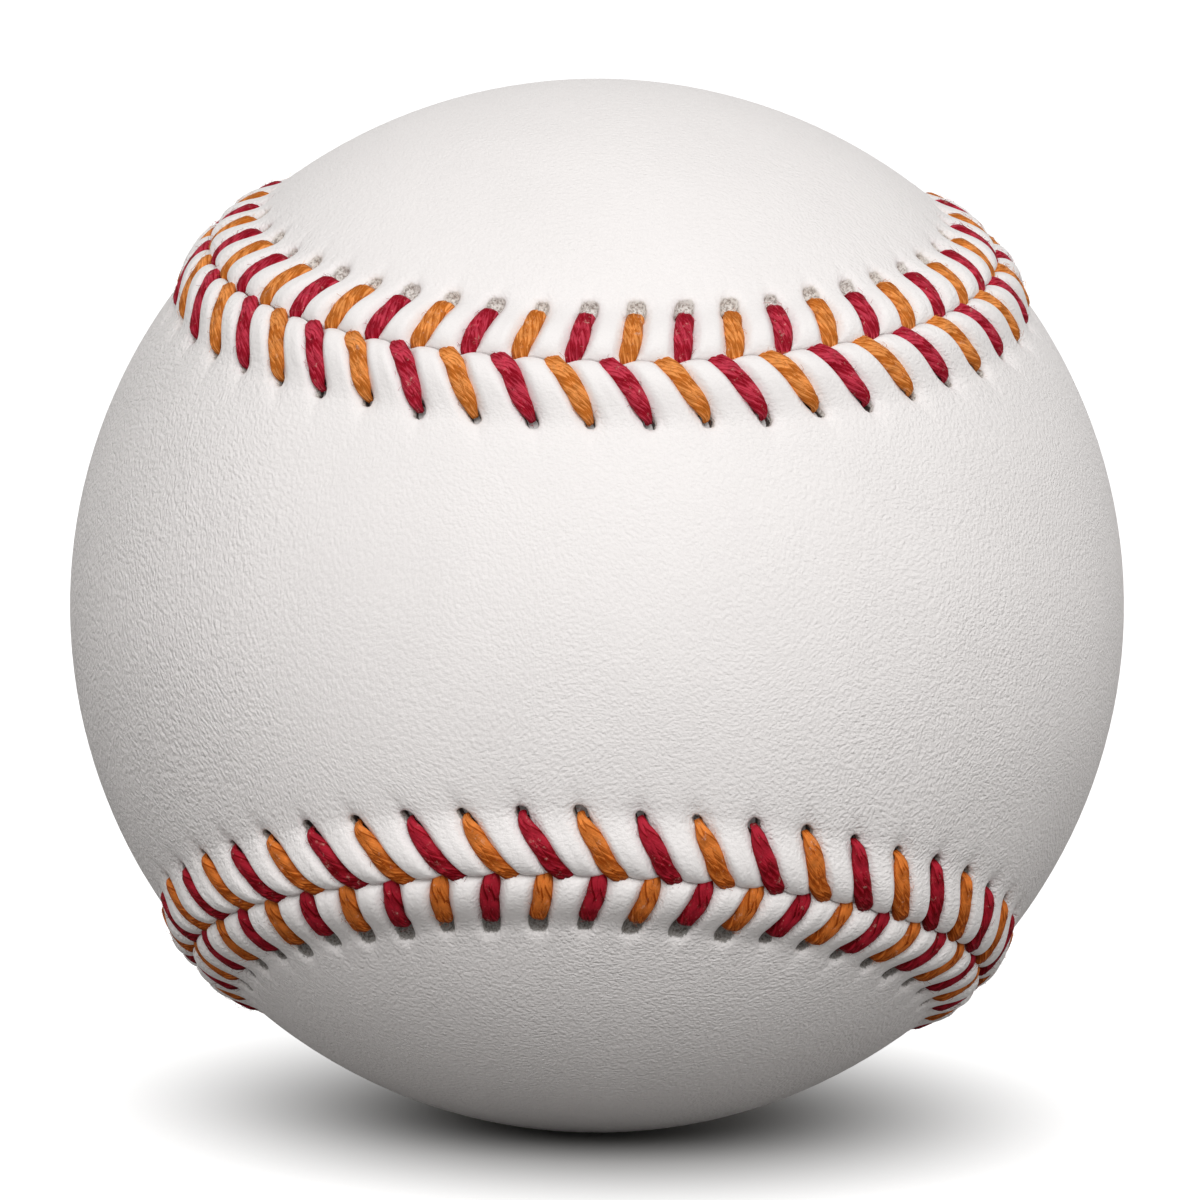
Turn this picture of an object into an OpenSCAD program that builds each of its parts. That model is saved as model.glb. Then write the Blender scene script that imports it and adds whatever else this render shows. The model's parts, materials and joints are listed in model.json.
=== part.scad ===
// Baseball: rubber-cushioned cork pill, four windings and a two-panel leather cover,
// sewn shut with two waxed threads that cross at every stitch.
// The origin is the middle of the ball, +Z is up, and the waist of the front panel faces -Y.

/* [Ball] */
// Diameter over the smooth leather, away from the seam
ball_d = 73.6; // [72:0.1:78]
// Thickness of the leather
leather_t = 1.2; // [1.1:0.05:1.4]
// Width of a panel across its waist, along the leather
waist_w = 35.5; // [32:0.5:36]

/* [Pill] */
// Diameter of the cork core
cork_d = 20.6; // [16:0.1:24]
// Wall of the two black rubber cups
cup_t = 4; // [3:0.1:5]
// Thickness of the red gasket between the cups
gasket_t = 1.2; // [0.6:0.1:2]
// Wall of the red rubber jacket
jacket_t = 3.1; // [2:0.1:4]

/* [Windings] */
// Thickness of the middle winding, of white wool
middle_winding_t = 1.8; // [1:0.1:2.5]
// Thickness of the outer winding, of grey wool
outer_winding_t = 2.1; // [1:0.1:2.5]
// Thickness of the finishing winding, of white cotton blend
finish_winding_t = 1.2; // [1.1:0.05:1.6]

/* [Seam] */
// Stitches on each of the four arcs of the seam
arc_stitches = 27; // [26:1:28]
// Height of the raised seam above the leather
ridge_h = 0.9; // [0.7:0.05:1.1]
// Width of the raised edge of one panel, from the crease to its foot
ridge_w = 3.4; // [3:0.1:3.5]
// Gap between the edges of the panels in the crease
crease_gap = 0.2; // [0.1:0.05:0.3]
// Distance from the crease to the middle of the punched holes
hole_off = 4.1; // [4.1:0.05:4.4]

/* [Thread] */
// Diameter of the waxed thread
thread_d = 1; // [0.8:0.05:1.05]
// How far a stitch on the front panel runs forward from its hole to the crease
front_lead = 2.4; // [1.8:0.1:2.6]
// How far a stitch on the back panel runs forward from its hole to the crease
back_lead = 0.8; // [0.4:0.1:1.6]
// Space between the two threads where they dive into the crease
thread_space = 0.2; // [0.2:0.05:0.3]
// Clearance between the thread and the leather
thread_clear = 0.08; // [0.04:0.01:0.1]
// How far a stitch is pressed into the leather
stitch_press = 0.12; // [0.1:0.01:0.16]
// How far the middle of a stitch bows above its ends
stitch_bow = 0.1; // [0.05:0.05:0.15]
// How deep the hidden runs lie below the underside of the leather
run_sink = 0.2; // [0.15:0.05:0.3]

/* [Hidden] */
ball_r = ball_d / 2;
thread_r = thread_d / 2;
// Small overrun of every cut past the surface that it opens
cut_over = 1;

// Radii of the layers, from the cork outwards
cork_r = cork_d / 2;
cup_r = cork_r + cup_t;
pill_r = cup_r + jacket_t;
wound_r = ball_r - leather_t;
finish_in_r = wound_r - finish_winding_t;
outer_in_r = finish_in_r - outer_winding_t;
middle_in_r = outer_in_r - middle_winding_t;

// The seam is four equal arcs of circles on the ball, each round the axis of one lobe.
// Neighbouring arcs touch where they turn over, at the middles of four edges of a cube.
half_root_share = sqrt(1 / 2);
waist_half_a = waist_w / ball_r * 90 / PI;
lobe_tilt_a = atan2(cos(waist_half_a), half_root_share - sin(waist_half_a));
lobe_a = lobe_tilt_a - waist_half_a;
arc_half_a = acos(-cos(lobe_tilt_a) * half_root_share / sin(lobe_a));
arc_count = 4;
stitch_count = arc_count * arc_stitches;
stitch_a = 2 * arc_half_a / arc_stitches;
lobe_axis = [0, -cos(lobe_tilt_a), sin(lobe_tilt_a)];
lobe_fall = [0, -sin(lobe_tilt_a), -cos(lobe_tilt_a)];
// Arcs in the order in which the thread meets them: round the upper lobe of the back panel, the left
// lobe of the front panel, the lower lobe of the back panel and the right lobe of the front panel.
// Each is a half turn of the first one.
turn_axes = [[0, 1, 0], [-1, 0, 1], [0, 1, 0], [1, 0, 1]];
turn_a = [0, 180, 180, 180];
TOP = 0;
LEFT = 1;
BOTTOM = 2;
RIGHT = 3;
FRONT = 1;
BACK = -1;

// The raised edge is a round bead that stands ridge_h above the leather and is ridge_w wide there
bead_r = (pow(ridge_w / 2, 2) + pow(ridge_h, 2)) / (2 * ridge_h);
bead_centre_r = ball_r + ridge_h - bead_r;
// Arcs end this far short of the place where they meet, and a collar or a plug bridges the space
arc_short = 0.3;
bridge_w = 4 * arc_short;
collar_share = 1.03;
plug_share = 1.06;

// The hidden runs of thread lie half in a bed in the windings and half in a relief of the leather,
// with some room round them
run_r = wound_r - run_sink;
run_room = 0.1;
bed_r = run_r - thread_r - run_room;
relief_r = run_r + thread_r + thread_clear;
bed_w = hole_off + thread_r + 2 * run_room;

// A stitch lies in a groove across the bead
stitch_r = ball_r + thread_r - stitch_press;
groove_w = thread_d + thread_clear;
groove_depth = stitch_press + thread_clear;
// Distance between the two threads of a station where they dive into the crease
crease_step = thread_d + thread_space;
// Half the length of a punched hole, and half the width of a slot in the crease
slit_half = thread_r + thread_clear;
cut_deep = ball_r - finish_in_r;
cut_high = ridge_h + cut_over;
// The bend at each corner of the thread is this share wider than the thread
bend_share = 1.15;
thread_sides = 6;

$fn = 128;

// Angle at the middle of the ball for a length along the leather
function along(len) = len / ball_r * 180 / PI;

// A half turn that carries the first arc onto the one asked for
function turned(arc, p) =
    arc == LEFT ? [-p.z, -p.y, -p.x] :
    arc == BOTTOM ? [-p.x, p.y, -p.z] :
    arc == RIGHT ? [p.z, -p.y, p.x] : p;

// A point near stitch k: forward along the seam, across it towards the front panel, and out from the middle
function seam_point(k, forward, across, r) =
    let (arc = floor(k / arc_stitches) % arc_count,
         way = arc % 2 == 0 ? -1 : 1,
         step_a = arc_half_a - (k % arc_stitches) * stitch_a,
         a = -way * step_a + way * along(forward) / sin(lobe_a),
         polar = lobe_a - way * along(across))
    turned(arc, r * (cos(polar) * lobe_axis
                     + sin(polar) * (cos(a) * lobe_fall + sin(a) * [1, 0, 0])));

// The middle of the punched hole of a stitch
function hole_point(k, side, r) =
    let (lead = side == FRONT ? front_lead : back_lead)
    seam_point(k, side * crease_step / 2 - lead, side * hole_off, r);

// The place where a stitch dives into the crease
function dive_point(k, side, r) = seam_point(k, side * crease_step / 2, 0, r);

// Where a stitch lies along its own straight line, from 0 at its hole to 1 at the crease
function stitch_point(k, side, share, r) =
    let (hole = hole_point(k, side, r),
         p = hole + share * (dive_point(k, side, r) - hole))
    r * p / norm(p);

// The corners of one stitch: up through its hole, over the bead and down into the crease
function stitch_route(k, side) = [
    stitch_point(k, side, 0, run_r),
    stitch_point(k, side, 0, stitch_r),
    stitch_point(k, side, 1 / 2, stitch_r + stitch_bow),
    stitch_point(k, side, 1, stitch_r),
    stitch_point(k, side, 1, run_r)];

// The direction square to the plane of one stitch
function stitch_normal(k, side) =
    let (hole = stitch_point(k, side, 0, ball_r),
         crease = stitch_point(k, side, 1, ball_r),
         n = side * cross(crease - hole, hole))
    n / norm(n);

// Places children of the first arc on the one asked for, with the axis of the lobe along Z
module on_arc(arc)
    rotate(a = turn_a[arc], v = turn_axes[arc])
        rotate([90 - lobe_tilt_a, 0, 0])
            rotate([0, 0, -90])
                children();

// A straight round rod between two points
module rod(p0, p1, r) {
    run = p1 - p0;
    translate(p0)
        rotate([0, acos(run.z / norm(run)), atan2(run.y, run.x)])
            cylinder(h = norm(run), r = r);
}

// A radial rod through the wall of the ball, at a point of its surface
module radial_rod(p, r)
    rod(p * (finish_in_r - cut_over) / norm(p), p * (ball_r + ridge_h + cut_over) / norm(p), r);

// A wedge of the ball round the axis of one lobe, between two angles from the axis
module seam_wedge(arc, in_a, out_a, half_len_a) {
    start_r = finish_in_r - cut_over;
    end_r = 2 * ball_r;
    on_arc(arc)
        rotate_extrude(angle = 2 * half_len_a, start = -half_len_a)
            polygon([[start_r * sin(in_a), start_r * cos(in_a)],
                     [end_r * sin(in_a), end_r * cos(in_a)],
                     [end_r * sin(out_a), end_r * cos(out_a)],
                     [start_r * sin(out_a), start_r * cos(out_a)]]);
}

// The place where an arc starts, at a distance across the seam from the crease
function joint(arc, across, r) = seam_point(arc * arc_stitches, 0, across, r);

// Half the length of an arc, as an angle round its lobe, short of its joints
short_half_a = arc_half_a - along(arc_short) / sin(lobe_a);

// The belt of the ball under which the hidden runs lie
module run_belt()
    for (arc = [TOP : RIGHT]) {
        seam_wedge(arc, lobe_a - along(bed_w), lobe_a + along(bed_w), short_half_a);
        radial_rod(joint(arc, 0, ball_r), bed_w * plug_share);
    }

// The bead along one arc, on the side of the front panel, and the collar that joins it to the next
module front_bead(arc) {
    way = arc % 2 == 0 ? 1 : -1;
    bead_a = lobe_a + way * along(ridge_w / 2);
    on_arc(arc)
        rotate_extrude(angle = 2 * short_half_a, start = -short_half_a)
            translate([bead_centre_r * sin(bead_a), bead_centre_r * cos(bead_a)])
                circle(r = bead_r);
    middle = joint(arc, ridge_w / 2, bead_centre_r);
    ahead = seam_point(arc * arc_stitches, arc_short, ridge_w / 2, bead_centre_r) - middle;
    reach = ahead * bridge_w / 2 / norm(ahead);
    rod(middle - reach, middle + reach, bead_r * collar_share);
}

// A slab that bridges the space between two arcs, on the side of the back panel
module back_bridge(arc, end) {
    far = ball_r * sin(lobe_a) + bridge_w;
    near = bridge_w / 2;
    on_arc(arc)
        rotate([0, 0, end * arc_half_a])
            rotate([0, lobe_a, 0])
                translate([-far, -bridge_w / 2, finish_in_r / 2])
                    cube([far - near, bridge_w, ball_r]);
}

// All that the back panel covers, out to the crease
module back_region() {
    gap_a = along(crease_gap / 2);
    for (arc = [TOP, BOTTOM], end = [-1, 1])
        back_bridge(arc, end);
    for (arc = [TOP, BOTTOM])
        seam_wedge(arc, 0, lobe_a + gap_a, short_half_a);
    for (arc = [LEFT, RIGHT])
        seam_wedge(arc, lobe_a - gap_a, 2 * lobe_a + along(bridge_w), short_half_a);
}

// The front panel before it is punched: a shell with a bead along its edge
module panel_blank()
    difference() {
        union() {
            sphere(r = ball_r);
            for (arc = [TOP : RIGHT])
                front_bead(arc);
        }
        sphere(r = wound_r);
        intersection() {
            sphere(r = relief_r);
            run_belt();
        }
    }

// Places children with X from one point of the leather to another, and Z outward
module between(p0, p1) {
    x = (p1 - p0) / norm(p1 - p0);
    z = (p1 + p0) / norm(p1 + p0);
    y = cross(z, x);
    multmatrix([[x.x, y.x, z.x, p0.x],
                [x.y, y.y, z.y, p0.y],
                [x.z, y.z, z.z, p0.z]])
        children();
}

// The cut for one stitch: its punched hole, and the groove that it presses into the bead
module stitch_cut(k, side) {
    hole = hole_point(k, side, ball_r);
    dive = dive_point(k, side, ball_r);
    run = norm(dive - hole);
    between(hole, dive)
        rotate([90, 0, 0])
            linear_extrude(groove_w, center = true)
                polygon([[-slit_half, -cut_deep], [-slit_half, cut_high], [run, cut_high],
                         [run, -groove_depth], [slit_half, -groove_depth],
                         [slit_half, -cut_deep]]);
}

// The slot in the crease through which the two threads of one station dive: a round one
// where two arcs of the seam meet, and a straight one elsewhere
module crease_slot(k) {
    back = dive_point(k, BACK, ball_r);
    front = dive_point(k, FRONT, ball_r);
    slot_len = norm(front - back) + 2 * slit_half;
    if (k % arc_stitches == 0)
        radial_rod(seam_point(k, 0, 0, ball_r), slot_len / 2);
    else
        between(back, front)
            translate([-slit_half, -slit_half, -cut_deep])
                cube([slot_len, 2 * slit_half, cut_deep + cut_high]);
}

// All the cuts that the stitches make in one panel
module stitch_cuts(side)
    for (k = [0 : stitch_count - 1]) {
        stitch_cut(k, side);
        crease_slot(k);
    }

// One ring of the thread at a corner of its route, turned to face half way round the bend
function thread_ring(before, at, after, across) =
    let (in_way = (at - before) / norm(at - before),
         out_way = (after - at) / norm(after - at),
         ahead = (in_way + out_way) / norm(in_way + out_way),
         up = cross(ahead, across) / norm(cross(ahead, across)),
         side = cross(up, ahead))
    [for (i = [0 : thread_sides - 1])
        let (a = 360 * i / thread_sides)
        at + thread_r * (cos(a) * side + sin(a) * bend_share * up)];

// One thread: a stitch on each panel in turn, with a hidden run from the crease to the next hole
module thread(first_side) {
    side_of = [for (k = [0 : stitch_count - 1]) k % 2 == 0 ? first_side : -first_side];
    route = [for (k = [0 : stitch_count - 1]) each stitch_route(k, side_of[k])];
    across = [for (k = [0 : stitch_count - 1]) each
        let (n = stitch_normal(k, side_of[k])) [n, n, n, n, n]];
    last = len(route) - 1;
    rings = [for (i = [0 : last])
        thread_ring(i == 0 ? 2 * route[0] - route[1] : route[i - 1], route[i],
                    i == last ? 2 * route[last] - route[last - 1] : route[i + 1], across[i])];
    points = [for (ring = rings) each ring];
    walls = [for (i = [0 : last - 1], j = [0 : thread_sides - 1])
        let (n = (j + 1) % thread_sides, low = i * thread_sides, high = low + thread_sides)
        each [[low + j, high + n, low + n], [low + j, high + j, high + n]]];
    start_cap = [for (j = [0 : thread_sides - 1]) j];
    end_cap = [for (j = [thread_sides - 1 : -1 : 0]) last * thread_sides + j];
    polyhedron(points, concat([start_cap, end_cap], walls));
}

// A closed layer between two radii
module layer(in_r, out_r)
    difference() {
        sphere(r = out_r);
        sphere(r = in_r);
    }

module cork_core()
    color("peru")
        sphere(r = cork_r);

module cup_upper()
    color("dimgray")
        intersection() {
            layer(cork_r, cup_r);
            translate([-cup_r, -cup_r, gasket_t / 2])
                cube(2 * cup_r);
        }

module cup_lower()
    color("dimgray")
        mirror([0, 0, 1])
            intersection() {
                layer(cork_r, cup_r);
                translate([-cup_r, -cup_r, gasket_t / 2])
                    cube(2 * cup_r);
            }

module gasket()
    color("firebrick")
        intersection() {
            layer(cork_r, cup_r);
            translate([-cup_r, -cup_r, -gasket_t / 2])
                cube([2 * cup_r, 2 * cup_r, gasket_t]);
        }

module rubber_jacket()
    color("brown")
        layer(cup_r, pill_r);

module inner_winding()
    color("gray")
        layer(pill_r, middle_in_r);

module middle_winding()
    color("whitesmoke")
        layer(middle_in_r, outer_in_r);

module outer_winding()
    color("gray")
        layer(outer_in_r, finish_in_r);

// The finishing winding has a bed along the seam for the hidden runs of thread
module finish_winding()
    color("ivory")
        difference() {
            layer(finish_in_r, wound_r);
            difference() {
                run_belt();
                sphere(r = bed_r);
            }
        }

module cover_panel_front()
    color("white")
        difference() {
            panel_blank();
            back_region();
            stitch_cuts(FRONT);
        }

module cover_panel_back()
    color("whitesmoke")
        difference() {
            rotate(a = turn_a[RIGHT], v = turn_axes[RIGHT])
                difference() {
                    panel_blank();
                    back_region();
                }
            stitch_cuts(BACK);
        }

module thread_red()
    color("crimson")
        thread(BACK);

module thread_orange()
    color("orange")
        thread(FRONT);

cork_core();
cup_upper();
cup_lower();
gasket();
rubber_jacket();
inner_winding();
middle_winding();
outer_winding();
finish_winding();
cover_panel_front();
cover_panel_back();
thread_red();
thread_orange();
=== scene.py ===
import json
import math
from typing import NamedTuple

import bmesh
import bpy
import numpy as np
from bpy.props import FloatProperty, FloatVectorProperty, IntProperty, PointerProperty
from mathutils import Euler, Matrix, Vector


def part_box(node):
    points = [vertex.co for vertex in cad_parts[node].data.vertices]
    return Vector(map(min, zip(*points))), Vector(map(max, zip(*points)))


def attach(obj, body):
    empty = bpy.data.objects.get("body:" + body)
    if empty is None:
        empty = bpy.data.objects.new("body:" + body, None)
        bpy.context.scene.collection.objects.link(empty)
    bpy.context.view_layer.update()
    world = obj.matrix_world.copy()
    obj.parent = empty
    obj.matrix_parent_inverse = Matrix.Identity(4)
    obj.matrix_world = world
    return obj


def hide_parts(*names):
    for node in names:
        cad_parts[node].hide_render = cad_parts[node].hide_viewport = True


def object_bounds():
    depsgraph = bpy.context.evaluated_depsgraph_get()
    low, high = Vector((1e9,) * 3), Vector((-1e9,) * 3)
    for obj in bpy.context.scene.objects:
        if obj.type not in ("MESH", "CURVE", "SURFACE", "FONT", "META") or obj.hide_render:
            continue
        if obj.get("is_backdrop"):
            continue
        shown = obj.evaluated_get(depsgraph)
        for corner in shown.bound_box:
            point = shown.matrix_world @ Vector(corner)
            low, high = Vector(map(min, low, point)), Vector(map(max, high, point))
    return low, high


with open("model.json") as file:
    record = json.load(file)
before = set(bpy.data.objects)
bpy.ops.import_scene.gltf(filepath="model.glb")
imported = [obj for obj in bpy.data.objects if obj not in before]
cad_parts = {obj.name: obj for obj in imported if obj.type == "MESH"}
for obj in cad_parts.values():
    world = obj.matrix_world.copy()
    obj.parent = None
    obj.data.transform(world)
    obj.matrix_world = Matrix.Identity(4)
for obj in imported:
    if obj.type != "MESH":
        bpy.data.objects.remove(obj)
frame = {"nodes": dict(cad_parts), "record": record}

bl_info = {
    "name": "Baseball looks",
    "version": (1, 0, 0),
    "blender": (4, 5, 0),
    "location": "View3D > Sidebar > Baseball",
    "description": "Dresses a sewn ball: leather panels, twisted threads, windings and pill",
    "category": "Object",
}

MM = 0.001
ARCS = 4
STATIONS = 108
ARC_STATIONS = STATIONS // ARCS
FRONT, BACK = 1, -1
SIDE_NAMES = {FRONT: "front", BACK: "back"}

# Sizes of the ball in millimetres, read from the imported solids
SMOOTH_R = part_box("cover_panel_front")[1].x / MM
WOUND_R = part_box("finish_winding")[1].x / MM

# CAD node, material slot and thickness of the yarn in millimetres, from the middle out
WINDINGS = (("inner_winding", "grey_wool", 1.6), ("middle_winding", "white_wool", 1.2),
            ("outer_winding", "grey_wool", 1.2), ("finish_winding", "cotton_yarn", 0.7))
RUBBER_NODES = {"black_rubber": ("cup_upper", "cup_lower"), "red_rubber": ("gasket", "rubber_jacket")}


class PunchedHole(NamedTuple):
    """The punched holes of one panel, in millimetres.

    Pull is how far the thread draws the leather in round a hole. Torn further is how much more
    leather is torn at the far end of a hole than beside it, in shares of its half length.
    The last value, the painted shade inside a hole, is 1 where the hole is painted dark, and less where it
    is full of lint.
    """

    half_wide: float
    half_long: float
    depth: float
    pull: float
    torn_further: float
    painted_hole_shade: float


HOLES = {FRONT: PunchedHole(0.4, 0.62, 1.2, 0.24, -0.12, 1.0),
         BACK: PunchedHole(0.62, 0.86, 0.45, 0.13, 0.0, 0.42)}


class SeamSizes(bpy.types.PropertyGroup):
    """Sizes of the seam, in millimetres."""

    waist: FloatProperty(name="Waist", description="Width of a panel across its waist", default=35.5)
    crease_step: FloatProperty(
        name="Crease step", description="Distance between the two threads of a station", default=0.95)
    front_lead: FloatProperty(
        name="Front lead", description="Forward run of a stitch on the front panel", default=2.28)
    back_lead: FloatProperty(
        name="Back lead", description="Forward run of a stitch on the back panel", default=0.92)
    hole_off: FloatProperty(
        name="Hole distance", description="Distance of the holes from the crease", default=4.1)
    ridge: FloatProperty(
        name="Ridge", description="Height of the raised edge above the leather", default=0.95)
    pillow: FloatProperty(
        name="Pillow", description="Depth of the groove between two pillows", default=0.74)
    thread_w: FloatProperty(name="Thread width", description="Width of a pressed stitch", default=1.42)
    thread_h: FloatProperty(name="Thread height", description="Height of a pressed stitch", default=0.74)
    seed: IntProperty(name="Seed", description="Seed of the hand-sewn unevenness", default=11)


class LeatherFinish(bpy.types.PropertyGroup):
    """Colours of the leather, and the grain's distances in millimetres."""

    colour: FloatVectorProperty(
        name="Leather", description="Colour of the leather", subtype="COLOR", size=3,
        default=(0.87, 0.838, 0.828))
    # Painted shade: the colour inside the punched holes, which are shallow dents, stands in for the dark
    # deep in a hole
    hole: FloatVectorProperty(
        name="Hole", description="Colour inside the punched holes", subtype="COLOR", size=3,
        default=(0.065, 0.047, 0.041))
    lint_dark: FloatVectorProperty(
        name="Dark lint", description="Darkest colour of the lint in the holes", subtype="COLOR", size=3,
        default=(0.3, 0.26, 0.23))
    lint_pale: FloatVectorProperty(
        name="Pale lint", description="Palest colour of the lint in the holes", subtype="COLOR", size=3,
        default=(0.72, 0.69, 0.65))
    grain: FloatProperty(
        name="Grain", description="Distance between the folds of the grain", default=0.2)
    pebble: FloatProperty(
        name="Pebble", description="Distance between the pebbles of the grain", default=0.3)


class ThreadFinish(bpy.types.PropertyGroup):
    """Colours and lay of the two threads."""

    red: FloatVectorProperty(
        name="Red", description="Colour of the red thread", subtype="COLOR", size=3,
        default=(0.5, 0.006, 0.04))
    orange: FloatVectorProperty(
        name="Orange", description="Colour of the orange thread", subtype="COLOR", size=3,
        default=(0.77, 0.27, 0.045))
    wax: FloatVectorProperty(
        name="Wax", description="Colour of the specks of wax", subtype="COLOR", size=3,
        default=(0.8, 0.62, 0.5))
    plies: IntProperty(name="Plies", description="Strands that are twisted together", default=3)
    twist: FloatProperty(name="Twist", description="Turns of the strands in one stitch", default=0.55)


class StageSettings(bpy.types.PropertyGroup):
    """Camera, floor and lamp."""

    distance: FloatProperty(
        name="Camera distance", description="From the middle of the ball", subtype="DISTANCE",
        default=0.8)
    floor_tilt: FloatProperty(
        name="Floor tilt", description="How far the ball lies turned on the floor", subtype="ANGLE",
        default=math.radians(4.5))
    key: FloatProperty(name="Key", description="Power of the large front lamp, in watts", default=8.05)


def rounded(x, low, high):
    """A smooth step from 0 at low to 1 at high."""
    share = np.clip((x - low) / (high - low), 0, 1)
    return share * share * (3 - 2 * share)


def uneven(seed, spread):
    """A small repeatable value for each station, for work done by hand."""
    return np.random.default_rng(seed).uniform(-spread, spread, STATIONS)


class Seam:
    """The line of the seam on the ball, and places beside it, in millimetres.

    A station is the place of a pair of stitches, counted along the seam, and a place between
    two of them is a fraction. Across is the distance from the crease, positive on the front panel.
    """

    # The crease swings once for each pillow and slowly along an arc, and the swing dies out beside it
    pillow_wave = 0.13
    long_wave = 0.04
    long_waves = 5
    wave_reach = 0.8

    def __init__(self, sizes):
        self.sizes = sizes
        self.waist_a = sizes.waist / SMOOTH_R / 2
        root = math.sqrt(0.5)
        self.tilt_a = math.atan2(math.cos(self.waist_a), root - math.sin(self.waist_a))
        self.lobe_a = self.tilt_a - self.waist_a
        self.half_a = math.acos(-math.cos(self.tilt_a) * root / math.sin(self.lobe_a))
        self.axis = np.array([0, -math.cos(self.tilt_a), math.sin(self.tilt_a)])
        self.fall = np.array([0, -math.sin(self.tilt_a), -math.cos(self.tilt_a)])
        self.pitch = 2 * self.half_a / ARC_STATIONS * math.sin(self.lobe_a) * SMOOTH_R

    def place(self, station, across):
        """The arc, the angle along it and the angle from the axis of its lobe."""
        station, across = np.broadcast_arrays(np.mod(station, STATIONS), across)
        arc = np.floor(station / ARC_STATIONS).astype(int) % ARCS
        way = np.where(arc % 2 == 0, -1.0, 1.0)
        step_a = self.half_a - np.mod(station, ARC_STATIONS) * 2 * self.half_a / ARC_STATIONS
        return arc, -way * step_a, self.lobe_a - way * across / SMOOTH_R

    def directions(self, station, across):
        """Unit vectors from the middle of the ball."""
        arc, turn, polar = self.place(station, across)
        ring = np.cos(turn)[..., None] * self.fall + np.sin(turn)[..., None] * np.array([1.0, 0, 0])
        p = np.cos(polar)[..., None] * self.axis + np.sin(polar)[..., None] * ring
        x, y, z = p[..., 0], p[..., 1], p[..., 2]
        turned = [np.stack(c, -1) for c in ((x, y, z), (-z, -y, -x), (-x, y, -z), (z, -y, x))]
        return np.choose(arc[..., None], turned)

    def spread(self, station, across):
        """How much wider the stations stand there than at the crease."""
        polar = self.place(station, across)[2]
        return np.sin(polar) / math.sin(self.lobe_a)

    def lead(self, side):
        """How far the hole of a stitch lies behind its dive into the crease."""
        return self.sizes.front_lead if side == FRONT else self.sizes.back_lead

    def stitch_station(self, k, side, off, beside=0.0):
        """The station of a place on the line of stitch k, so far off the crease and beside the line."""
        reach = off / self.sizes.hole_off
        lean = self.lead(side) * (np.minimum(reach, 1) + 0.5 * np.tanh(np.maximum(reach - 1, 0)))
        return k + (side * self.sizes.crease_step / 2 + beside - lean) / self.pitch

    def crease_wave(self, station, off=0.0):
        """How far the leather swings with the crease, where the front pillows press into the back ones."""
        phase = 2 * np.pi * (station - self.sizes.crease_step / 2 / self.pitch)
        slow = 2 * np.pi * self.long_waves * station / ARC_STATIONS
        wave = self.pillow_wave * np.cos(phase) + self.long_wave * np.sin(slow)
        return wave * np.exp(-off / self.wave_reach)


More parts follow.
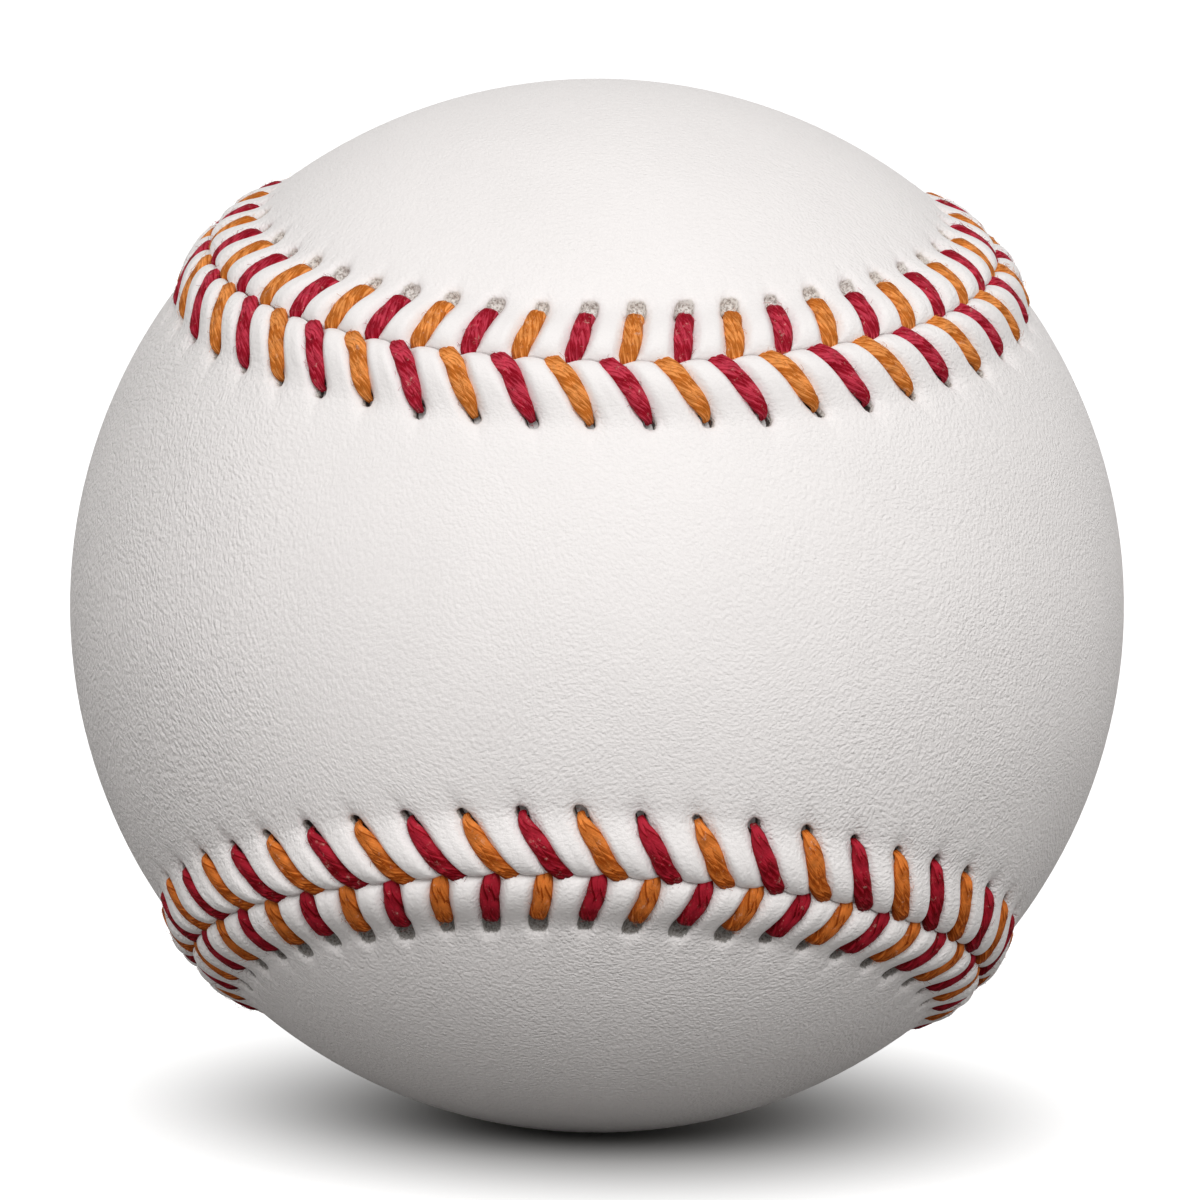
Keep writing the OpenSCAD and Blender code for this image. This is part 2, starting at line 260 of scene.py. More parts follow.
class Relief:
    """The height of one panel's sewn edge over the smooth ball, in millimetres."""

    # Distances from the crease: the top of the edge, its foot, and where grooves begin and end
    crest = 1.3
    foot = 4.9
    groove_start = (-0.5, 0.7)
    groove_end = (3.4, 5.6)
    # Half widths of a groove, at its floor and at its top
    groove_floor = 0.3
    groove_top = 1.35
    # Height of the lip at the crease, and share by which the pillows rise between two stitches
    lip = 0.1
    crown = 0.1
    # The furrow that a stitch draws out past its hole
    tail_depth = 0.08
    tail_at = 1.0
    tail_wide = 0.4
    tail_long = 0.9
    # Reach of the dimple round a hole: sideways, outwards and back to the crease
    dimple_wide = 0.8
    dimple_out = 1.3
    dimple_back = 0.9
    # The rim round a hole, and where its wall and its torn leather begin and end, 1 being its edge
    rim_height = 0.05
    rim_at = 1.5
    rim_wide = 0.35
    hole_wall = (0.65, 1.05)
    torn_edge = (0.75, 1.2)

    def __init__(self, seam, side):
        self.seam = seam
        self.sizes = seam.sizes
        self.hole = HOLES[side]
        seed = self.sizes.seed + side
        self.hole_at = self.sizes.hole_off + uneven(seed, 0.12)
        self.hole_turn = uneven(seed + 100, 0.2)
        self.hole_size = 1 + uneven(seed + 200, 0.2)
        self.plump = uneven(seed + 300, 0.06)

    def ridge(self, off):
        """The rounded edge: up quickly from the crease, then down to its foot."""
        rise = np.sqrt(np.clip(1 - (1 - np.clip(off / self.crest, 0, 1)) ** 2, 0, 1))
        slope = np.clip((off - self.crest) / (self.foot - self.crest), 0, 1)
        fall = 0.5 + 0.5 * np.cos(np.pi * slope)
        return np.where(off < self.crest, self.lip + (self.sizes.ridge - self.lip) * rise,
                        self.sizes.ridge * fall)

    def groove_depth(self, off):
        """How deep a stitch presses the edge there."""
        reach = rounded(off, *self.groove_start) * (1 - rounded(off, *self.groove_end))
        return self.sizes.pillow * reach * (0.5 + 0.5 * self.ridge(off) / self.sizes.ridge)

    def from_hole(self, k, beside, off):
        """How far a place lies past the middle of stitch k's hole, and to the side of its slant."""
        past = off - self.hole_at[k]
        return past, beside - self.hole_turn[k] * past

    def slit(self, k, beside, off):
        """How far outside the punched hole of stitch k a place is: 1 at its edge."""
        past, aside = self.from_hole(k, beside, off)
        wide = np.abs(aside / self.hole.half_wide)
        long = np.abs(past / self.hole.half_long)
        return (wide ** 3 + long ** 3) ** (1 / 3) / self.hole_size[k]

    def torn(self, k, beside, off):
        """How torn the leather is there: 1 in a hole, 0 where it is whole."""
        start, end = self.torn_edge
        end = end + self.hole.torn_further * rounded(off - self.hole_at[k], 0.0, 0.7)
        return 1 - rounded(self.slit(k, beside, off), start, end)

    def height(self, k, beside, off, spread):
        """Height at a place beside stitch k, and off the crease."""
        half_pitch = self.seam.pitch / 2 * spread
        apart = np.abs(beside)
        groove = 1 - rounded(apart, self.groove_floor, np.minimum(self.groove_top, half_pitch * 0.85))
        crown = self.crown + self.plump[k] * np.cos(np.pi * np.clip(apart / half_pitch, 0, 1))
        height = self.ridge(off) * (1 + crown * (1 - groove)) - self.groove_depth(off) * groove
        past, aside = self.from_hole(k, beside, off)
        slit = self.slit(k, beside, off)
        tail = np.exp(-(aside / self.tail_wide) ** 2 - ((past - self.tail_at) / self.tail_long) ** 2)
        dimple_long = np.where(past > 0, self.dimple_out, self.dimple_back)
        dimple = np.exp(-(aside / self.dimple_wide) ** 2 - (past / dimple_long) ** 2)
        rim = np.exp(-((slit - self.rim_at) / self.rim_wide) ** 2)
        height = height - self.hole.pull * dimple - self.tail_depth * tail + self.rim_height * rim
        return height - self.hole.depth * (1 - rounded(slit, *self.hole_wall))


class PanelMesh:
    """One leather panel as a closed mesh: sewn belt, crease wall, smooth field and underside."""

    # Distances of the belt's rows from the crease, closer at the edge and at the holes
    belt_rows = (0.05, 0.12, 0.22, 0.35, 0.5, 0.7, 0.92, 1.16, 1.42, 1.7, 2.0, 2.3, 2.6, 2.88, 3.12,
                 3.34, 3.52, 3.68, 3.82, 3.96, 4.1, 4.24, 4.38, 4.52, 4.66, 4.8, 4.96, 5.14, 5.36,
                 5.66, 6.06, 6.56, 7.2)
    # The rows down the wall of the crease, whose masks colour it with lint blended towards the holes' dark,
    # partly frayed edge and partly painted shade in the crease, and the underside's first rows beside it
    wall_depths = (-1.15, -0.75, -0.3)
    wall_lint_and_shade = (0.5, 0.4, 0.2)
    under_offs = (0.9, 2.5, 5.0)
    columns = 20
    column_bunching = 1.45
    coarse_columns = 5
    field_start = 8.1
    field_rows = 15
    under_rows = 8

    def __init__(self, seam, side):
        self.seam = seam
        self.side = side
        self.relief = Relief(seam, side)
        self.points = []
        self.masks = []
        self.faces = []
        self.count = 0

    def add(self, rows, masks):
        """Keeps rows of points with a mask each, and gives their numbers as a grid."""
        rows = np.array(rows)
        self.points.append(rows.reshape(-1, 3))
        self.masks.append(np.broadcast_to(np.array(masks), rows.shape[:2]).reshape(-1))
        grid = np.arange(self.count, self.count + rows.shape[0] * rows.shape[1]).reshape(rows.shape[:2])
        self.count += grid.size
        return grid

    def skin(self, grid):
        """Faces between the rows of a grid that runs round the whole seam."""
        near, far = grid[:-1], grid[1:]
        corners = (near, np.roll(near, -1, axis=1), np.roll(far, -1, axis=1), far)
        self.faces.extend(np.stack(corners, -1).reshape(-1, 4).tolist())

    def narrow(self, fine, coarse):
        """Faces between a row of close columns and a row of wide ones."""
        ratio = len(fine) // len(coarse)
        half = ratio // 2
        for i, here in enumerate(coarse):
            onward = coarse[(i + 1) % len(coarse)]
            run = [fine[(i * ratio + j) % len(fine)] for j in range(ratio + 1)]
            self.faces.extend((run[j], run[j + 1], here) for j in range(half))
            self.faces.append((run[half], onward, here))
            self.faces.extend((run[j], run[j + 1], onward) for j in range(half, ratio))

    def column_places(self, step):
        """Station number and mm beside it of every column, closer together at the stitch."""
        share = (np.arange(0, self.columns, step) - self.columns / 2) / (self.columns / 2)
        beside = np.sign(share) * np.abs(share) ** self.column_bunching * self.seam.pitch / 2
        return np.repeat(np.arange(STATIONS), len(beside)), np.tile(beside, STATIONS)

    def belt(self):
        """The sewn belt along the crease, and the wall of the crease itself."""
        k, beside = self.column_places(1)
        edge = self.belt_rows[0]
        station = self.seam.stitch_station(k, self.side, edge, beside)
        way = self.seam.directions(station, self.side * edge + self.seam.crease_wave(station))
        rows = [way * (SMOOTH_R + depth) for depth in self.wall_depths]
        # The crease wall gets lint and the holes' dark colour: frayed edge with painted shade in the crease
        masks = [np.full(len(k), share) for share in self.wall_lint_and_shade]
        for off in self.belt_rows:
            station = self.seam.stitch_station(k, self.side, off, beside)
            spread = self.seam.spread(station, self.side * off)
            height = self.relief.height(k, beside * spread, off, spread)
            wave = self.seam.crease_wave(station, off - edge)
            way = self.seam.directions(station, self.side * off + wave)
            rows.append(way * (SMOOTH_R + height)[:, None])
            # Painted shade inside the holes: dark where the leather is torn through, less in holes full of
            # lint
            masks.append(self.relief.hole.painted_hole_shade * self.relief.torn(k, beside * spread, off))
        grid = self.add(rows, masks)
        self.skin(grid)
        return grid

    def spine(self, station):
        """Where columns end: the panel's middle line, between the middles of its two lobes."""
        tip = ARC_STATIONS / 2 if self.side == BACK else 3.5 * ARC_STATIONS
        apart = np.abs(np.mod(station - tip + STATIONS / 2, STATIONS) - STATIONS / 2)
        edge = self.seam.directions(tip + apart, self.side * self.belt_rows[-1])
        aside, ahead = (edge[:, 0], -edge[:, 1]) if self.side == FRONT else (edge[:, 2], edge[:, 1])
        end_a = math.atan2(math.sin(self.seam.tilt_a), -math.cos(self.seam.tilt_a))
        angle = np.clip(np.arctan2(aside, ahead), -end_a, end_a)
        along, level = np.sin(angle), np.zeros_like(angle)
        if self.side == FRONT:
            return np.stack([along, -np.cos(angle), level], -1)
        return np.stack([level, np.cos(angle), along], -1)

    def field(self, k, beside, radius, count):
        """Rows of smooth leather from the belt to the spine."""
        station = self.seam.stitch_station(k, self.side, self.field_start, beside)
        edge = self.seam.directions(station, self.side * self.field_start)
        spine = self.spine(k + beside / self.seam.pitch)
        angle = np.arccos(np.clip((edge * spine).sum(-1), -1, 1))
        rows = []
        for share in np.linspace(0, 1, count + 1):
            near = np.sin((1 - share) * angle) / np.sin(angle)
            far = np.sin(share * angle) / np.sin(angle)
            rows.append((near[:, None] * edge + far[:, None] * spine) * radius)
        return rows

    def build(self, name):
        """The whole panel as a mesh, with its mask of holes and crease wall: 1 where painted dark as shade,
        less where full of lint.
        """
        fine = self.belt()
        k, beside = self.column_places(self.columns // self.coarse_columns)
        top = self.add(self.field(k, beside, SMOOTH_R, self.field_rows), 0.0)
        self.narrow(fine[-1], top[0])
        self.skin(top)
        rows = []
        for off in self.under_offs:
            station = self.seam.stitch_station(k, self.side, off, beside)
            rows.append(self.seam.directions(station, self.side * off) * WOUND_R)
        under = self.add(rows + self.field(k, beside, WOUND_R, self.under_rows), 0.0)
        self.narrow(fine[0], under[0])
        self.skin(under)
        mesh = bpy.data.meshes.new(name)
        mesh.from_pydata((np.concatenate(self.points) * MM).tolist(), [], self.faces)
        mask = mesh.attributes.new("hole_mask", "FLOAT", "POINT")
        mask.data.foreach_set("value", np.concatenate(self.masks).astype(np.float32))
        return mesh


def close_seams(mesh):
    """Merges doubles, turns the faces outwards and shades the mesh smooth."""
    work = bmesh.new()
    work.from_mesh(mesh)
    bmesh.ops.remove_doubles(work, verts=work.verts, dist=0.002 * MM)
    bmesh.ops.recalc_face_normals(work, faces=work.faces)
    for face in work.faces:
        face.smooth = True
    work.to_mesh(mesh)
    work.free()
    mesh.update()


def placed(name, data):
    """A new object in the scene."""
    made = bpy.data.objects.new(name, data)
    bpy.context.scene.collection.objects.link(made)
    return made


def dress(name, mesh, finish, node):
    """Shows a finished mesh in place of the CAD node that it stands for."""
    mesh.materials.clear()
    mesh.materials.append(finish)
    piece = placed(name, mesh)
    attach(piece, "root")
    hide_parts(node)


class Graph:
    """Short calls for making nodes and joining them."""

    def __init__(self, tree):
        self.tree = tree

    def node(self, kind, feeds=(), **settings):
        """A new node with its settings, and with what its inputs are fed, by name or by number."""
        made = self.tree.nodes.new(kind)
        for name, value in settings.items():
            setattr(made, name, value)
        for name, value in dict(feeds).items():
            self.feed(made.inputs[name], value)
        return made

    def feed(self, socket, value):
        """Joins a socket to another one or to a node's first output, or gives it a plain value."""
        if isinstance(value, bpy.types.Node):
            value = value.outputs[0]
        if isinstance(value, bpy.types.NodeSocket):
            self.tree.links.new(value, socket)
        elif value is not None:
            socket.default_value = value

    def math(self, operation, *values):
        return self.node("ShaderNodeMath", enumerate(values), operation=operation).outputs[0]

    def times(self, first, second):
        return self.math("MULTIPLY", first, second)

    def vector(self, operation, *values):
        made = self.node("ShaderNodeVectorMath", enumerate(values), operation=operation)
        return made.outputs["Value" if operation in ("DOT_PRODUCT", "LENGTH") else "Vector"]

    def scaled(self, vector, scale):
        return self.node("ShaderNodeVectorMath", {0: vector, "Scale": scale}, operation="SCALE").outputs[0]

    def smooth(self, value, low, high, start=0.0, end=1.0):
        """A smooth step from start, at low, to end, at high."""
        feeds = {"Value": value, "From Min": low, "From Max": high, "To Min": start, "To Max": end}
        return self.node("ShaderNodeMapRange", feeds, interpolation_type="SMOOTHSTEP").outputs[0]

    def mix(self, share, first, second, blend="MIX"):
        feeds = {0: share, 6: first, 7: second}
        return self.node("ShaderNodeMix", feeds, data_type="RGBA", blend_type=blend).outputs[2]

    def toned(self, colour, tone):
        """A colour made darker or paler by a tone."""
        return self.mix(1.0, colour, tone, "MULTIPLY")

    def noise(self, vector, scale, detail=2.0, roughness=0.5):
        feeds = {"Vector": vector, "Scale": scale, "Detail": detail, "Roughness": roughness}
        return self.node("ShaderNodeTexNoise", feeds).outputs

    def cells(self, vector, scale, feature="F1"):
        return self.node("ShaderNodeTexVoronoi", {"Vector": vector, "Scale": scale}, feature=feature).outputs

    def axes(self, vector):
        """The x, y and z of a vector."""
        return tuple(self.node("ShaderNodeSeparateXYZ", {0: vector}).outputs)

    def combined(self, *parts):
        """A vector from its x, y and z, where None is 0."""
        return self.node("ShaderNodeCombineXYZ", enumerate(parts)).outputs[0]

    def object_place(self):
        return self.node("ShaderNodeTexCoord").outputs["Object"]

    def attribute(self, name, output):
        return self.node("ShaderNodeAttribute", attribute_name=name).outputs[output]

    def group(self, tree, **values):
        feeds = {name.replace("_", " ").capitalize(): value for name, value in values.items()}
        return self.node("ShaderNodeGroup", feeds, node_tree=tree).outputs


def effect_group(name, sockets, results):
    """A shader node group and its two ends. An input with None for its default is a vector."""
    tree = bpy.data.node_groups.new(name, "ShaderNodeTree")
    for label, default in sockets.items():
        kind = "NodeSocketVector" if default is None else "NodeSocketFloat"
        made = tree.interface.new_socket(label, in_out="INPUT", socket_type=kind)
        if default is not None:
            made.default_value = default
    for label in results:
        tree.interface.new_socket(label, in_out="OUTPUT", socket_type="NodeSocketFloat")
    graph = Graph(tree)
    return graph, graph.node("NodeGroupInput").outputs, graph.node("NodeGroupOutput").inputs


def new_material(name, roughness, specular=0.5, sheen=0.0):
    """A material with its shader, whose plain values stand on the shader's own sockets."""
    material = bpy.data.materials.new(name)
    material.use_nodes = True
    graph = Graph(material.node_tree)
    shader = material.node_tree.nodes["Principled BSDF"]
    plain = {"Roughness": roughness, "Specular IOR Level": specular, "Sheen Weight": sheen}
    for label, value in plain.items():
        shader.inputs[label].default_value = value
    return material, graph, shader


def bump(graph, shader, height, strength, depth):
    """Feeds a height, 0 to 1, to the shader as a bump of so many millimetres."""
    feeds = {"Strength": strength, "Distance": depth * MM, "Height": height}
    graph.feed(shader.inputs["Normal"], graph.node("ShaderNodeBump", feeds))


def pattern_scale(size):
    """The scale of a pattern whose marks are so many millimetres apart."""
    return 1 / (size * MM)


def rgba(colour, factor=1.0):
    """A colour with full alpha, made paler or darker by a factor."""
    return (*(channel * factor for channel in colour[:3]), 1.0)


def dust_group():
    """Fine uneven tone that leather, rubber and threads all have, made once: a factor about 1."""
    name = "fine_dust"
    if name in bpy.data.node_groups:
        return bpy.data.node_groups[name]
    graph, inputs, outputs = effect_group(name, {"Vector": None, "Scale": 100.0, "Amount": 0.1}, ["Tone"])
    wide = graph.noise(inputs["Vector"], inputs["Scale"], 4.0, 0.6)[0]
    centred = graph.math("SUBTRACT", wide, 0.5)
    graph.feed(outputs["Tone"], graph.math("MULTIPLY_ADD", centred, inputs["Amount"], 1.0))
    return graph.tree


def leather(finish):
    """Full-grain white leather: pebbled grain, pores, and frayed holes, some full of lint, others painted
    dark inside as shade.
    """
    grain_depth, pebble_share, pore_share = 0.112, -0.42, 0.15
    material, graph, shader = new_material("white_leather", 0.55, 0.3, 0.08)
    place = graph.object_place()
    slow = graph.vector("SUBTRACT", graph.noise(place, pattern_scale(15), 1.0)[1], (0.5,) * 3)
    drawn = graph.vector("ADD", place, graph.scaled(slow, 4 * MM))
    across, _, up = graph.axes(drawn)

    # Folds that run level over most of the ball and steep on its left side, with pebbles and pores
    fold_scale = pattern_scale(finish.grain)
    level, steep = (graph.noise(graph.vector("MULTIPLY", drawn, squeeze), fold_scale)[0]
                    for squeeze in ((0.75, 1.0, 1.0), (1.0, 1.0, 0.6)))
    left = graph.smooth(across, -24 * MM, -2 * MM, 1.0, 0.0)
    folds = graph.math("MULTIPLY_ADD", left, graph.math("SUBTRACT", steep, level), level)
    pebble_place = graph.vector("MULTIPLY", drawn, (1.0, 1.0, 0.8))
    pebbles = graph.cells(pebble_place, pattern_scale(finish.pebble))[0]
    pores = graph.noise(place, pattern_scale(0.15), 1.0)[0]
    patches = graph.smooth(graph.noise(place, pattern_scale(7))[0], 0.35, 0.7, 0.85, 1.0)
    grain = graph.math("MULTIPLY_ADD", pebbles, pebble_share, folds)
    grain = graph.math("MULTIPLY_ADD", pores, pore_share, graph.times(grain, patches))

    # The grain is stronger at the flanks and low on the ball, and weaker on the stretched edge
    strength = graph.math("ADD", graph.smooth(across, -38 * MM, -14 * MM, 2.2, 0.35),
                          graph.math("ADD", graph.smooth(across, 6 * MM, 28 * MM, 0.3, 0.9),
                                     graph.smooth(up, -16 * MM, 4 * MM, 0.45, 0.0)))
    radius = graph.vector("LENGTH", place)
    stretched = graph.smooth(radius, SMOOTH_R * MM, (SMOOTH_R + 0.5) * MM, 1.0, 0.6)
    grain = graph.times(grain, graph.times(strength, stretched))
    bump(graph, shader, grain, 1.0, grain_depth)
    graph.feed(shader.inputs["Roughness"], graph.smooth(folds, 0.3, 0.7, 0.5, 0.64))

    wrinkle = graph.math("ABSOLUTE", graph.math("SUBTRACT", folds, 0.5))
    tone = graph.group(dust_group(), vector=place, scale=pattern_scale(9), amount=0.07)[0]
    tone = graph.times(tone, graph.smooth(wrinkle, 0.0, 0.06, 0.97, 1.0))
    white = graph.toned(rgba(finish.colour), tone)

    # Torn leather shows lint, darkened low on the ball as painted shade, and further in the hole's dark
    # colour, painted shade inside the hole
    frayed = graph.noise(place, pattern_scale(0.2), 3.0, 0.7)[0]
    ragged = graph.math("ADD", graph.attribute("hole_mask", "Fac"),
                        graph.math("MULTIPLY_ADD", frayed, 0.5, -0.25))
    lint = graph.mix(graph.smooth(frayed, 0.36, 0.58), rgba(finish.lint_dark), rgba(finish.lint_pale))
    # Painted shade: the lint is darker low on the ball, where the holes face down away from the lamp
    lint = graph.toned(lint, graph.smooth(up, -22 * MM, -4 * MM, 0.42, 1.0))
    # The hole colour deeper in is painted shade inside the hole
    inside = graph.mix(graph.smooth(ragged, 0.5, 0.66), lint, rgba(finish.hole))
    torn = graph.smooth(ragged, 0.12, 0.28)
    graph.feed(shader.inputs["Base Color"], graph.mix(torn, white, inside))
    return material


def fibre_group():
    """Slanting fibres of a twisted strand, from its lay: cosine, sine and length in metres."""
    graph, inputs, outputs = effect_group(
        "strand_fibres", {"Lay": None, "Twist": 1300.0}, ["Height", "Streak"])
    angle = graph.times(graph.axes(inputs["Lay"])[2], inputs["Twist"])
    turn = graph.node("ShaderNodeVectorRotate", {"Vector": inputs["Lay"], "Angle": angle},
                      rotation_type="Z_AXIS")
    drawn = graph.vector("MULTIPLY", turn, (1.0, 1.0, 210.0))
    fine = graph.noise(drawn, 4.6, 3.0, 0.6)[0]
    broad = graph.times(graph.noise(drawn, 1.7, 1.0)[0], 0.5)
    graph.feed(outputs["Height"], fine)
    graph.feed(outputs["Streak"], graph.math("MULTIPLY_ADD", fine, 0.5, broad))
    return graph.tree


def thread_finish(name, colour, wax, fibres):
    """Waxed, twisted thread: streaked fibres, pale specks of wax, and painted shade that makes it darker and
    deeper in colour low on the ball.
    """
    material, graph, shader = new_material(name, 0.6, 0.06)
    place = graph.object_place()
    up = graph.axes(place)[2]
    strand = graph.group(fibres, lay=graph.attribute("lay", "Vector"))
    light = rgba([0.04 + 1.05 * channel for channel in colour])
    deep = rgba([0.62 * channel ** 1.3 for channel in colour])
    streaked = graph.mix(graph.smooth(strand["Streak"], 0.4, 0.62), deep, light)
    tone = graph.group(dust_group(), vector=place, scale=pattern_scale(0.7), amount=0.9)[0]
    # Painted shade: the thread is darker, and deeper in colour by a gamma, low on the ball
    tone = graph.times(tone, graph.smooth(up, -24 * MM, -6 * MM, 0.78, 1.0))
    painted_shade_gamma = graph.smooth(up, -20 * MM, -5 * MM, 1.35, 1.0)
    dusted_and_shaded = graph.node("ShaderNodeGamma", {"Color": graph.toned(streaked, tone), "Gamma": painted_shade_gamma})
    specks = graph.smooth(graph.noise(place, pattern_scale(0.5), 5.0, 0.75)[0], 0.58, 0.76, 0.0, 0.5)
    graph.feed(shader.inputs["Base Color"], graph.mix(specks, dusted_and_shaded, rgba(wax)))
    bump(graph, shader, strand["Height"], 0.7, 0.08)
    return material


def strand_tree(finish):
    """Geometry nodes that twist plies along each stitch, flatten the bundle and raise some fuzz."""
    tree = bpy.data.node_groups.new("twisted_stitches", "GeometryNodeTree")
    tree.interface.new_socket("Stitches", in_out="INPUT", socket_type="NodeSocketGeometry")
    settings = {"Width": 1.5 * MM, "Height": 0.8 * MM, "Ply Radius": 0.46 * MM, "Turns": 0.6, "Plies": 3,
                "Sides": 8, "Fuzz Density": 1.75e6, "Fuzz Length": 0.42 * MM,
                "Fuzz Radius": 0.0095 * MM, "Seed": 3}
    for name, default in settings.items():
        kind = "NodeSocketInt" if isinstance(default, int) else "NodeSocketFloat"
        tree.interface.new_socket(name, in_out="INPUT", socket_type=kind).default_value = default
    tree.interface.new_socket("Thread", in_out="OUTPUT", socket_type="NodeSocketGeometry")
    graph = Graph(tree)
    inputs = graph.node("NodeGroupInput").outputs

    def random(low, high, seed_shift):
        """An even random number for each curve or point."""
        made = graph.node("FunctionNodeRandomValue", data_type="FLOAT")
        limits = {"Min_001": low, "Max_001": high}
        for socket in made.inputs:
            graph.feed(socket, limits.get(socket.identifier))
        graph.feed(made.inputs["Seed"], graph.math("ADD", inputs["Seed"], seed_shift))
        return made.outputs[1]

    def captured(geometry, domain, name, value):
        """The geometry with a number kept on it, and that number."""
        made = graph.node("GeometryNodeCaptureAttribute", domain=domain)
        made.capture_items.new("FLOAT", name)
        graph.feed(made.inputs["Geometry"], geometry)
        graph.feed(made.inputs[name], value)
        return made.outputs["Geometry"], made.outputs[name]

    def circle(sides, radius):
        return graph.node("GeometryNodeCurvePrimitiveCircle", {"Resolution": sides, "Radius": radius})

    def tube(line, profile, scale):
        return graph.node("GeometryNodeCurveToMesh", {
            "Curve": line, "Profile Curve": profile, "Scale": scale, "Fill Caps": True})

    legs, start = captured(inputs["Stitches"], "CURVE", "Start", random(0.0, 1.0, 0))
    copies = graph.node("GeometryNodeDuplicateElements", {"Geometry": legs, "Amount": inputs["Plies"]},
                        domain="SPLINE").outputs
    along = graph.node("GeometryNodeSplineParameter").outputs
    share = graph.math("DIVIDE", copies["Duplicate Index"], inputs["Plies"])
    turns = graph.math("MULTIPLY_ADD", along["Factor"], inputs["Turns"], graph.math("ADD", share, start))
    angle = graph.times(turns, math.tau)
    up = graph.vector("NORMALIZE", graph.node("GeometryNodeInputPosition"))
    ahead = graph.node("GeometryNodeInputTangent")
    aside = graph.vector("NORMALIZE", graph.vector("CROSS_PRODUCT", ahead, up))
    swell = graph.node("GeometryNodeInputRadius")

    def swing(size, ply_share, wave, way):
        """How far a ply swings one way, so that the bundle keeps its size."""
        half = graph.math("SUBTRACT", graph.times(inputs[size], 0.5),
                          graph.times(inputs["Ply Radius"], ply_share))
        return graph.scaled(way, graph.times(graph.times(wave, half), swell))

    shift = graph.vector("ADD", swing("Width", 1.0, graph.math("COSINE", angle), aside),
                         swing("Height", 0.8, graph.math("SINE", angle), up))
    moved = graph.node("GeometryNodeSetPosition", {"Geometry": copies["Geometry"], "Offset": shift})
    rail, length = captured(moved, "POINT", "Length", along["Length"])
    turn = graph.times(graph.node("GeometryNodeSplineParameter").outputs["Factor"], math.tau)
    ring, around = captured(circle(inputs["Sides"], inputs["Ply Radius"]), "POINT", "Around", turn)
    lay = graph.combined(graph.math("COSINE", around), graph.math("SINE", around), length)
    stored = graph.node("GeometryNodeStoreNamedAttribute", {
        "Geometry": tube(rail, ring, swell), "Name": "lay", "Value": lay},
        data_type="FLOAT_VECTOR", domain="POINT")
    plies = graph.node("GeometryNodeSetShadeSmooth", {"Geometry": stored})

    # Fuzz: short bent hairs that stand off the plies
    spots = graph.node("GeometryNodeDistributePointsOnFaces", {
        "Mesh": plies, "Density": inputs["Fuzz Density"], "Seed": inputs["Seed"]}).outputs
    hair_length = inputs["Fuzz Length"]
    bend = graph.combined(None, None, graph.times(hair_length, 0.4))
    tip = graph.combined(hair_length, None, graph.times(hair_length, 0.35))
    hair = graph.node("GeometryNodeCurvePrimitiveBezierSegment", {
        "Resolution": 2, "Start": (0, 0, 0), "Start Handle": bend, "End Handle": bend, "End": tip},
        mode="POSITION")
    hair = tube(hair, circle(3, inputs["Fuzz Radius"]), 1.0)
    spin = graph.combined(None, None, random(0.0, math.tau, 1))
    spin = graph.node("FunctionNodeEulerToRotation", {0: spin})
    turned = graph.node("FunctionNodeRotateRotation", {
        "Rotation": spots["Rotation"], "Rotate By": spin}, rotation_space="LOCAL")
    size = random(0.35, 1.3, 2)
    hairs = graph.node("GeometryNodeInstanceOnPoints", {
        "Points": spots["Points"], "Instance": hair, "Rotation": turned,
        "Scale": graph.combined(size, size, size)})
    both = graph.node("GeometryNodeJoinGeometry")
    for part in (hairs, plies):
        graph.feed(both.inputs[0], part)
    whole = graph.node("GeometryNodeRealizeInstances", {"Geometry": both})
    painted = graph.node("GeometryNodeSetMaterial", {"Geometry": whole, "Material": finish})
    graph.node("NodeGroupOutput", {"Thread": painted})
    return tree


def rounded_run(points, count):
    """A smooth curve through a few points, as so many points."""
    points = np.array(points, float)
    padded = np.vstack([2 * points[0] - points[1], points, 2 * points[-1] - points[-2]])
    places = np.linspace(0, len(points) - 1, count)
    made = []
    for place in places:
        i = min(int(place), len(points) - 2)
        t = place - i
        a, b, c, d = padded[i:i + 4]
        made.append(0.5 * (2 * b + (c - a) * t + (2 * a - 5 * b + 4 * c - d) * t * t
                           + (3 * b - a - 3 * c + d) * t ** 3))
    return np.array(made)


def stitch_route(seam, relief, side, k, count):
    """Points in mm of one stitch: up out of its hole, along its groove and down into the crease.

    Its marks are the distance from the crease, the height and how far the thread is swollen.
    """
    sink, hook_reach = 0.13, 0.4
    half = seam.sizes.thread_h / 2 - sink
    hole = relief.hole_at[k]

    def groove(off):
        return float(relief.ridge(off) - relief.groove_depth(off)) + half

    along = [(off, groove(off), swell) for off, swell in ((3.0, 0.95), (2.3, 1.0), (1.5, 1.03))]
    if side == FRONT:
        rise = [(hole, -0.7, 0.4), (hole - 0.1, -0.2, 0.5), (hole - 0.45, groove(hole - 0.45), 0.74)]
        dive = [(0.75, groove(0.75) + 0.06, 1.0), (0.2, groove(0.4) + 0.02, 0.95),
                (-0.1, 0.15, 0.85), (-0.2, -0.5, 0.75)]
    else:
        rise = [(hole - 0.5, -0.8, 0.8), (hole - 0.55, -0.25, 0.86),
                (hole - 0.82, groove(hole - 0.82) - 0.05, 0.95)]
        dive = [(0.8, groove(0.8), 0.98), (0.35, groove(0.5) - 0.1, 0.92), (0.12, -0.1, 0.85),
                (0.05, -0.6, 0.8)]
    run = rounded_run(rise + along + dive, count)
    off = run[:, 0]
    inner = np.maximum(off, 0)
    hook = hook_reach * (1 - rounded(off, -0.1, 1.1)) if side == FRONT else 0.0
    station = seam.stitch_station(k, side, inner) + hook / seam.pitch
    way = seam.directions(station, side * off + seam.crease_wave(station, inner))
    return way * (SMOOTH_R + run[:, 1])[:, None], run[:, 2]


